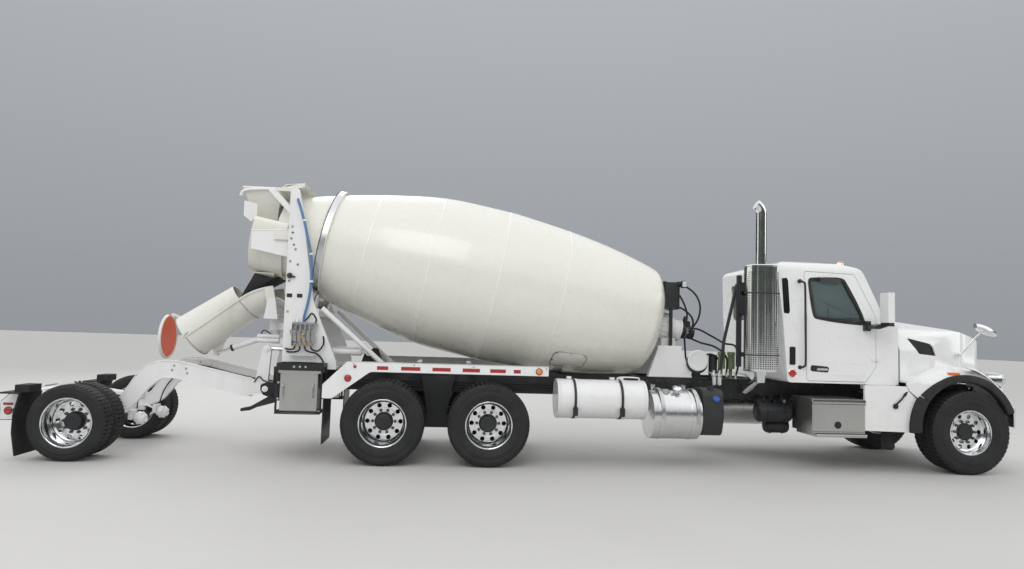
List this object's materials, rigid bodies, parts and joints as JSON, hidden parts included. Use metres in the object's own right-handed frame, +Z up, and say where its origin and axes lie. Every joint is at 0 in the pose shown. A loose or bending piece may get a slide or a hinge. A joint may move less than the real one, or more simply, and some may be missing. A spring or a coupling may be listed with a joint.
{
  "type": "concrete mixer truck",
  "caption": "rear-discharge concrete mixer truck with bonneted cab, tilted rotating drum, folding chutes and a trailing lift axle",
  "frame": {"origin": "on the ground under the middle of the truck's overall box", "axes": "+X forward to the bumper, +Y to the truck's left, +Z up"},
  "size_m": [13.29, 2.845, 3.656],
  "materials": {
    "black_frame": "satin black chassis paint",
    "bright_metal": "chrome and polished metal",
    "white_paint": "glossy white paint",
    "tinted_glass": "dark tinted glass",
    "cab_trim": "dark grey cab trim",
    "tank_metal": "plain aluminium tank",
    "dark_plastic": "black moulded plastic",
    "stainless": "brushed stainless sheet",
    "cream_paint": "cream-white paint with dust",
    "worn_steel": "bare worn steel",
    "chute_paint": "white paint with dried splashes",
    "flap_paint": "orange-red paint with a cream rim",
    "rod_chrome": "chromed piston rod",
    "flap_rubber": "black rubber sheet",
    "tyre_rubber": "black tyre rubber",
    "polished_rim": "polished aluminium"
  },
  "bodies": {
    "chassis": {"chassis_frame": "black_frame", "front_axle": "black_frame", "drive_axles": "black_frame", "engine": "black_frame", "bumper": "bright_metal", "cab_shell": "white_paint", "cab_glass": "tinted_glass", "cab_interior": "cab_trim", "fuel_tanks": "tank_metal", "fluid_tank": "dark_plastic", "water_tank": "white_paint", "tool_box": "stainless", "exhaust_stack": "bright_metal", "front_pedestal": "white_paint", "drum_drive": "white_paint", "oil_cooler": "dark_plastic", "rear_pedestal": "white_paint", "charge_hopper": "cream_paint", "collector": "cream_paint", "wheel_guards": "white_paint", "rear_cabinets": "stainless"},
    "drum": {"drum": "cream_paint"},
    "roller_right": {"roller_right": "worn_steel"},
    "roller_left": {"roller_left": "worn_steel"},
    "hood": {"hood": "white_paint", "grille_and_lamps": "bright_metal"},
    "door_right": {"door_right": "white_paint", "door_glass_right": "tinted_glass", "mirror_right": "white_paint"},
    "door_left": {"door_left": "white_paint", "door_glass_left": "tinted_glass", "mirror_left": "white_paint"},
    "knuckle_right": {"knuckle_right": "black_frame"},
    "knuckle_left": {"knuckle_left": "black_frame"},
    "front_wheel_right": {"front_tyre_right": "tyre_rubber", "front_rim_right": "polished_rim"},
    "front_wheel_left": {"front_tyre_left": "tyre_rubber", "front_rim_left": "polished_rim"},
    "drive_wheels_fr": {"drive_tyres_fr": "tyre_rubber", "drive_rims_fr": "polished_rim"},
    "drive_wheels_fl": {"drive_tyres_fl": "tyre_rubber", "drive_rims_fl": "polished_rim"},
    "drive_wheels_rr": {"drive_tyres_rr": "tyre_rubber", "drive_rims_rr": "polished_rim"},
    "drive_wheels_rl": {"drive_tyres_rl": "tyre_rubber", "drive_rims_rl": "polished_rim"},
    "booster_wheels_right": {"booster_tyres_right": "tyre_rubber", "booster_rims_right": "polished_rim"},
    "booster_wheels_left": {"booster_tyres_left": "tyre_rubber", "booster_rims_left": "polished_rim"},
    "booster": {"booster_frame": "white_paint", "booster_guards": "flap_rubber"},
    "booster_barrels": {"booster_barrels": "white_paint"},
    "booster_rods": {"booster_rods": "rod_chrome"},
    "chute_swivel": {"chute_swivel": "white_paint"},
    "main_chute": {"main_chute": "chute_paint"},
    "fold_chute": {"fold_chute": "chute_paint"},
    "end_flap": {"end_flap": "flap_paint"},
    "chute_lift_barrel": {"chute_lift_barrel": "white_paint"},
    "chute_lift_rod": {"chute_lift_rod": "rod_chrome"}
  },
  "joints": [
    {"name": "drum_spin", "type": "hinge", "parent": "chassis", "child": "drum", "pos_m": [-0.58, 0, 2.39], "axis": [0.9799, 0, -0.1994], "continuous": true},
    {"name": "roller_right_spin", "type": "hinge", "parent": "chassis", "child": "roller_right", "pos_m": [-3.04907, -0.49033, 2.09156], "axis": [0.9799, 0, -0.1994], "continuous": true},
    {"name": "roller_left_spin", "type": "hinge", "parent": "chassis", "child": "roller_left", "pos_m": [-3.04907, 0.49033, 2.09156], "axis": [0.9799, 0, -0.1994], "continuous": true},
    {"name": "steer_right", "type": "hinge", "parent": "chassis", "child": "knuckle_right", "pos_m": [5.855, -0.88, 0.562], "axis": [0, 0, 1], "range_deg": [-28, 28]},
    {"name": "steer_left", "type": "hinge", "parent": "chassis", "child": "knuckle_left", "pos_m": [5.855, 0.88, 0.562], "axis": [0, 0, 1], "range_deg": [-28, 28]},
    {"name": "front_wheel_right_spin", "type": "hinge", "parent": "knuckle_right", "child": "front_wheel_right", "pos_m": [5.855, -1.0375, 0.562], "axis": [0, 1, 0], "continuous": true},
    {"name": "front_wheel_left_spin", "type": "hinge", "parent": "knuckle_left", "child": "front_wheel_left", "pos_m": [5.855, 1.0375, 0.562], "axis": [0, 1, 0], "continuous": true},
    {"name": "drive_wheels_fr_spin", "type": "hinge", "parent": "chassis", "child": "drive_wheels_fr", "pos_m": [-0.645, -0.89, 0.527], "axis": [0, 1, 0], "continuous": true},
    {"name": "drive_wheels_rr_spin", "type": "hinge", "parent": "chassis", "child": "drive_wheels_rr", "pos_m": [-1.985, -0.89, 0.527], "axis": [0, 1, 0], "continuous": true},
    {"name": "drive_wheels_fl_spin", "type": "hinge", "parent": "chassis", "child": "drive_wheels_fl", "pos_m": [-0.645, 0.89, 0.527], "axis": [0, 1, 0], "continuous": true},
    {"name": "drive_wheels_rl_spin", "type": "hinge", "parent": "chassis", "child": "drive_wheels_rl", "pos_m": [-1.985, 0.89, 0.527], "axis": [0, 1, 0], "continuous": true},
    {"name": "booster_lift", "type": "hinge", "parent": "chassis", "child": "booster", "pos_m": [-3.585, 0, 0.87], "axis": [0, 1, 0], "range_deg": [0, 32]},
    {"name": "booster_wheels_right_spin", "type": "hinge", "parent": "booster", "child": "booster_wheels_right", "pos_m": [-5.745, -0.904, 0.46], "axis": [0, 1, 0], "continuous": true},
    {"name": "booster_wheels_left_spin", "type": "hinge", "parent": "booster", "child": "booster_wheels_left", "pos_m": [-5.745, 0.904, 0.46], "axis": [0, 1, 0], "continuous": true},
    {"name": "booster_barrels_turn", "type": "hinge", "parent": "chassis", "child": "booster_barrels", "pos_m": [-2.265, 0.44, 1.38], "axis": [0, 1, 0], "range_deg": [-10, 10]},
    {"name": "booster_rods_slide", "type": "slide", "parent": "booster_barrels", "child": "booster_rods", "axis": [-0.9999, 0, 0.015], "range_m": [-0.3, 0.02]},
    {"name": "door_right_hinge", "type": "hinge", "parent": "chassis", "child": "door_right", "pos_m": [4.647, -1.044, 1.3], "axis": [0, 0, 1], "range_deg": [0, 65]},
    {"name": "door_left_hinge", "type": "hinge", "parent": "chassis", "child": "door_left", "pos_m": [4.647, 1.044, 1.3], "axis": [0, 0, -1], "range_deg": [0, 65]},
    {"name": "hood_tilt", "type": "hinge", "parent": "chassis", "child": "hood", "pos_m": [6.491, 0, 0.95], "axis": [0, 1, 0], "range_deg": [0, 70]},
    {"name": "chute_swing", "type": "hinge", "parent": "chassis", "child": "chute_swivel", "pos_m": [-3.615, 0, 1.7], "axis": [0, 0, 1], "range_deg": [-80, 80]},
    {"name": "chute_tilt", "type": "hinge", "parent": "chute_swivel", "child": "main_chute", "pos_m": [-3.615, 0, 2.04], "axis": [0, -1, 0], "range_deg": [-20, 10]},
    {"name": "lift_barrel_turn", "type": "hinge", "parent": "chute_swivel", "child": "chute_lift_barrel", "pos_m": [-3.715, 0, 1.56], "axis": [0, -1, 0], "range_deg": [-30, 30]},
    {"name": "lift_rod_slide", "type": "slide", "parent": "chute_lift_barrel", "child": "chute_lift_rod", "axis": [-0.9374, 0, -0.3482], "range_m": [-0.12, 0.2]},
    {"name": "fold_hinge", "type": "hinge", "parent": "main_chute", "child": "fold_chute", "pos_m": [-4.75821, 0, 1.52268], "axis": [0, -1, 0], "range_deg": [0, 175]},
    {"name": "flap_hang", "type": "hinge", "parent": "fold_chute", "child": "end_flap", "pos_m": [-5.02462, 0, 1.8172], "axis": [0, -1, 0], "range_deg": [-175, 0]}
  ],
  "couplings": [
    {"joint": "roller_right_spin", "follows": "drum_spin", "ratio": -6.4},
    {"joint": "roller_left_spin", "follows": "drum_spin", "ratio": -6.4},
    {"joint": "steer_left", "follows": "steer_right", "ratio": 1},
    {"joint": "booster_barrels_turn", "follows": "booster_lift", "ratio": -0.0849},
    {"joint": "booster_rods_slide", "follows": "booster_lift", "m_per_rad": -0.5147},
    {"joint": "lift_barrel_turn", "follows": "chute_tilt", "ratio": 1.2559},
    {"joint": "lift_rod_slide", "follows": "chute_tilt", "m_per_rad": -0.4432},
    {"joint": "flap_hang", "follows": "fold_hinge", "ratio": -1}
  ]
}
